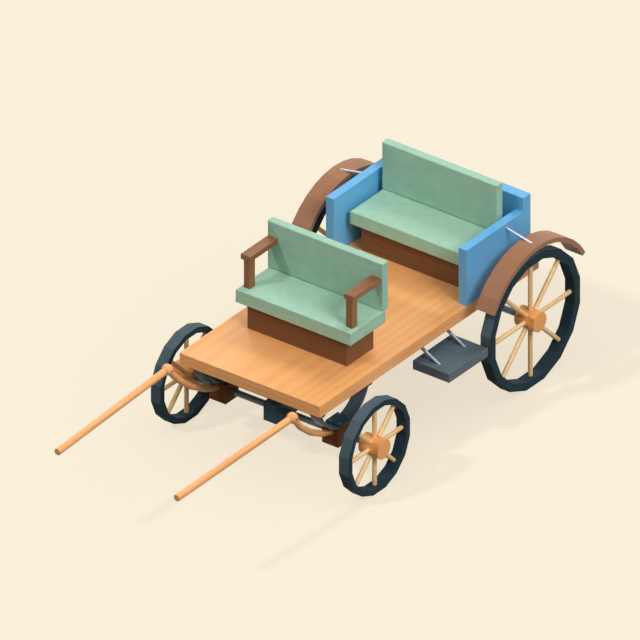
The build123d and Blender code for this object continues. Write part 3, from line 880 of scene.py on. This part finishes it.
@dataclass
class Deck(SubAssembly):
    """The floor board on its sills and cross bearers, with the turntable's upper plate."""

    def dress(self) -> None:
        """Oil the boards and paint the iron plate."""
        dress(["floor_board", "side_sills"], PINE)
        dress(["cross_bearers"], CROSS_PINE)
        dress(["turntable_plate"], SLATE)


CUSHION_LOW: Triple = (4.0, 4.0, 0.0)
CUSHION_HIGH: Triple = (4.0, 1.0, 2.0)
BACK_LOW: Triple = (4.0, 6.0, 0.3)
BACK_HIGH: Triple = (4.0, 0.0, -4.0)
BACK_EDGE_MM: float = 2.5


@dataclass
class Seats(SubAssembly):
    """Two benches: boxes, boards, padded cushions and backs, and the front armrests."""

    pads: list[SeatPad] = field(
        default_factory=lambda: [
            SeatPad(
                "front_cushion",
                FlatSide.UNDERSIDE,
                CUSHION_LOW,
                CUSHION_HIGH,
                "front_seat_board",
                "armrest_posts",
            ),
            SeatPad("rear_cushion", FlatSide.UNDERSIDE, CUSHION_LOW, CUSHION_HIGH, "rear_seat_board"),
            SeatPad("front_back", FlatSide.REAR, BACK_LOW, BACK_HIGH, edge_mm=BACK_EDGE_MM),
            SeatPad("rear_back", FlatSide.REAR, BACK_LOW, BACK_HIGH, edge_mm=BACK_EDGE_MM),
        ]
    )

    def build(self) -> None:
        """Stuff the four pads."""
        for pad in self.pads:
            pad.build()

    def dress(self) -> None:
        """Stain the boxes, boards and armrests."""
        dress(["front_seat_box", "rear_seat_box", "front_seat_board", "rear_seat_board"], WALNUT)
        dress(["armrests"], STAIN)
        dress(["armrest_posts"], UPRIGHT_STAIN)


@dataclass
class RearBody(SubAssembly):
    """The blue panels, the fenders and their stays."""

    hardware: Hardware = field(default_factory=lambda: Hardware(12.0, 8.6, 3.0, 2.0))
    stay_radius_mm: float = 8.5

    def build(self) -> None:
        """Set a washer where each stay meets its panel."""
        low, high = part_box("fender_stays")
        y = (low.y + high.y) / 2
        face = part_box("side_panels")[1].x
        z = high.z - self.stay_radius_mm * MM
        places = [facing((side * face, y, z), (side, 0, 0)) for side in (-1, 1)]
        self.hardware.row("stay_washers", CARRIAGE, places, STEEL, "stay_steel")

    def dress(self) -> None:
        """Paint the panels and fenders, and leave the stays bright."""
        dress(["side_panels", "back_panel"], BLUE)
        dress(["fenders"], FENDER)
        dress(["fender_stays"], STEEL)


@dataclass
class Steps(SubAssembly):
    """The side steps on their slanting hangers."""

    def dress(self) -> None:
        """Paint the steps and leave the hangers as bare steel."""
        dress(["step_plates"], SLATE)
        dress(["step_hangers"], DULL_STEEL)


@dataclass
class RearAxle(SubAssembly):
    """The rear axle with its springs, blocks and hangers."""

    bolt_x_mm: float = 30.0
    bolt_y_mm: float = 50.0
    hardware: Hardware = field(default_factory=Hardware)

    def build(self) -> None:
        """Set four bolt heads on each clamp."""
        places = clamp_places("rear_spring_clamps", self.bolt_x_mm * MM, self.bolt_y_mm * MM)
        self.hardware.row("rear_clamp_bolts", CARRIAGE, places, SLATE, "slate_iron")

    def dress(self) -> None:
        """Paint the iron and stain the blocks."""
        dress(["rear_axle"], AXLE_SLATE_PAINTED_LIGHTER)
        dress(["rear_springs", "rear_spring_clamps"], SLATE)
        dress(["rear_axle_blocks"], DARK_OAK)
        dress(["rear_spring_hangers"], SLATE_WOOD)


@dataclass
class ForeCarriage(SubAssembly):
    """The steered front: axle, springs, blocks, bolster, turntable and shaft arms."""

    bolt_x_mm: float = 40.0
    bolt_y_mm: float = 50.0
    hardware: Hardware = field(default_factory=Hardware)

    def build(self) -> None:
        """Set four bolt heads on each clamp."""
        places = clamp_places("front_spring_clamps", self.bolt_x_mm * MM, self.bolt_y_mm * MM)
        self.hardware.row("front_clamp_bolts", FORE, places, SLATE, "slate_iron")

    def dress(self) -> None:
        """Paint the iron, stain the blocks and oil the arms."""
        dress(["front_axle"], AXLE_SLATE_PAINTED_LIGHTER)
        dress(["front_springs", "kingpin", "turntable_ring", "shaft_pins"], SLATE)
        dress(["front_axle_blocks"], DARK_OAK)
        dress(["front_spring_clamps", "bolster", "turntable_bars"], SLATE_WOOD)
        dress(["shaft_arms"], ASH)


@dataclass
class Shafts(SubAssembly):
    """The two poles."""

    def dress(self) -> None:
        """Oil the poles."""
        dress(["left_shaft", "right_shaft"], ASH)


@dataclass
class Wheels(SubAssembly):
    """Four spoked wheels."""

    names: tuple[str, ...] = ("front_left", "front_right", "rear_left", "rear_right")

    def dress(self) -> None:
        """Dress tyres, rims, spokes and hubs."""
        for part, finish in (("tyre", TYRE), ("rim", RIM), ("spokes", VARNISHED_ASH), ("hub", ELM)):
            dress([f"{name}_{part}" for name in self.names], finish)


@dataclass(frozen=True)
class Lamp:
    """A distant lamp: where it stands, the light that it gives a surface facing it, and how wide it looks."""

    name: str
    direction: Triple
    light: float
    width_deg: float
    skips_floor: bool = False
    distance: float = 6.0

    def hang(self, floor: bpy.types.Object) -> None:
        """Add the lamp, as a sun whose energy of pi lights a white surface fully.

        Args:
            floor: the floor, which some lamps leave out so that its shadow stays light.
        """
        Bench.clear()
        towards = Vector(self.direction)
        aim = towards.to_track_quat("Z", "Y").to_euler()
        bpy.ops.object.light_add(type="SUN", location=towards.normalized() * self.distance, rotation=aim)
        lamp = bpy.context.object
        lamp.name = self.name
        lamp.data.energy = self.light * math.pi
        lamp.data.angle = math.radians(self.width_deg)
        if self.skips_floor:
            left_out = bpy.data.collections.new(f"left out by the {self.name}")
            left_out.objects.link(floor)
            left_out.collection_objects[0].light_linking.link_state = "EXCLUDE"
            lamp.light_linking.receiver_collection = left_out


@dataclass
class Studio:
    """A pale cream floor, a faint even sky, and lamps at the front, side and back, with a broad one above."""

    cream: str = "FBF0DA"
    bounce: str = "5A544C"
    sky: float = 0.09
    floor_size: float = 80.0
    floor_drop_mm: float = 0.5
    floor_share: float = 0.46
    floor_glow: float = 0.76
    lamps: tuple[Lamp, ...] = (
        Lamp("front lamp", (-0.43, -0.80, 1.0), 0.25, 5.0),
        Lamp("side lamp", (1.0, -0.30, 0.92), 0.46, 22.0, skips_floor=True),
        Lamp("overhead lamp", (0.8, 0.0, 1.0), 0.32, 110.0),
        Lamp("high back lamp", (0.05, 0.67, 1.0), 0.28, 20.0, skips_floor=True),
        Lamp("low back lamp", (-1.0, 0.60, 0.20), 0.40, 40.0, skips_floor=True),
    )

    def rays_seen(self, tree: bpy.types.NodeTree) -> bpy.types.NodeSocket:
        """Tell the rays that show the background, which are camera, glossy and transmission rays.

        Args:
            tree: the node tree that asks.

        Returns:
            The socket that gives 1 for such a ray and 0 for any other.
        """
        path = add_node(tree, "ShaderNodeLightPath").outputs
        pair: Links = {0: path["Is Camera Ray"], 1: path["Is Glossy Ray"]}
        seen = add_node(tree, "ShaderNodeMath", {"operation": "MAXIMUM"}, pair).outputs[0]
        more: Links = {0: seen, 1: path["Is Transmission Ray"]}
        return add_node(tree, "ShaderNodeMath", {"operation": "MAXIMUM"}, more).outputs[0]

    def floor(self) -> bpy.types.Object:
        """Lay the floor.

        Returns:
            The floor.
        """
        Bench.clear()
        bpy.ops.mesh.primitive_plane_add(size=self.floor_size, location=(0, 0, -self.floor_drop_mm * MM))
        piece = bpy.context.object
        piece.name = "floor"
        Bench.settle(piece)
        # Matt floor paint: even cream with a light shadow, and darker to the light that it throws back.
        material = bpy.data.materials.new("cream floor")
        material.use_nodes = True
        tree = material.node_tree
        tree.nodes.clear()
        seen = self.rays_seen(tree)
        red, green, blue = (self.floor_share * value for value in to_linear(self.cream)[:3])
        tones: Settings = {"data_type": "RGBA", 6: to_linear(self.bounce), 7: (red, green, blue, 1.0)}
        tone = add_node(tree, "ShaderNodeMix", tones, {0: seen}).outputs[2]
        matt = add_node(tree, "ShaderNodeBsdfDiffuse", links={"Color": tone}).outputs["BSDF"]
        glow: Settings = {"Color": to_linear(self.cream), "Strength": self.floor_glow}
        lit = add_node(tree, "ShaderNodeEmission", glow).outputs[0]
        dark = add_node(tree, "ShaderNodeEmission", {"Strength": 0.0}).outputs[0]
        shown = add_node(tree, "ShaderNodeMixShader", links={0: seen, 1: dark, 2: lit}).outputs[0]
        both = add_node(tree, "ShaderNodeAddShader", links={0: matt, 1: shown})
        add_node(tree, "ShaderNodeOutputMaterial", links={"Surface": both.outputs[0]})
        piece.data.materials.append(material)
        return piece

    def backdrop(self) -> None:
        """Make a faint sky that shows as cream."""
        world = bpy.data.worlds.new("studio")
        bpy.context.scene.world = world
        world.use_nodes = True
        tree = world.node_tree
        tree.nodes.clear()
        faint: Settings = {"Color": to_linear("FFFFFF"), "Strength": self.sky}
        dome = add_node(tree, "ShaderNodeBackground", faint).outputs[0]
        shown: Settings = {"Color": to_linear(self.cream), "Strength": 1.0}
        pale = add_node(tree, "ShaderNodeBackground", shown).outputs[0]
        mixed = add_node(tree, "ShaderNodeMixShader", links={0: self.rays_seen(tree), 1: dome, 2: pale})
        add_node(tree, "ShaderNodeOutputWorld", links={"Surface": mixed.outputs[0]})

    def build(self) -> None:
        """Make the floor, the backdrop, the lamps and the view settings."""
        floor = self.floor()
        self.backdrop()
        for lamp in self.lamps:
            lamp.hang(floor)
        bpy.context.scene.view_settings.view_transform = "Standard"


@dataclass
class PhotoCamera:
    """The photograph's parallel view from the front left and above."""

    target: Triple = (-0.093, 0.354, 0.7525)
    direction: Triple = (3.0, -4.0, 3.0)
    distance: float = 12.0
    picture_px: float = 640.0
    px_per_metre: float = 146.5
    clip_end: float = 100.0

    def build(self) -> None:
        """Add the camera and make it the scene's own."""
        Bench.clear()
        back = Vector(self.direction).normalized()
        turn = (-back).to_track_quat("-Z", "Y").to_euler()
        bpy.ops.object.camera_add(location=Vector(self.target) + back * self.distance, rotation=turn)
        camera = bpy.context.object
        camera.name = "photo camera"
        camera.data.type = "ORTHO"
        camera.data.ortho_scale = self.picture_px / self.px_per_metre
        camera.data.clip_end = self.clip_end
        bpy.context.scene.camera = camera


def main() -> None:
    """Build and dress the carriage, then the studio and the camera."""
    logging.basicConfig(level=logging.INFO, format="%(name)s: %(message)s")
    for part in (Deck(), Seats(), RearBody(), Steps(), RearAxle(), ForeCarriage(), Shafts(), Wheels()):
        part.build()
        part.dress()
    Studio().build()
    PhotoCamera().build()


if __name__ == "__main__":
    main()
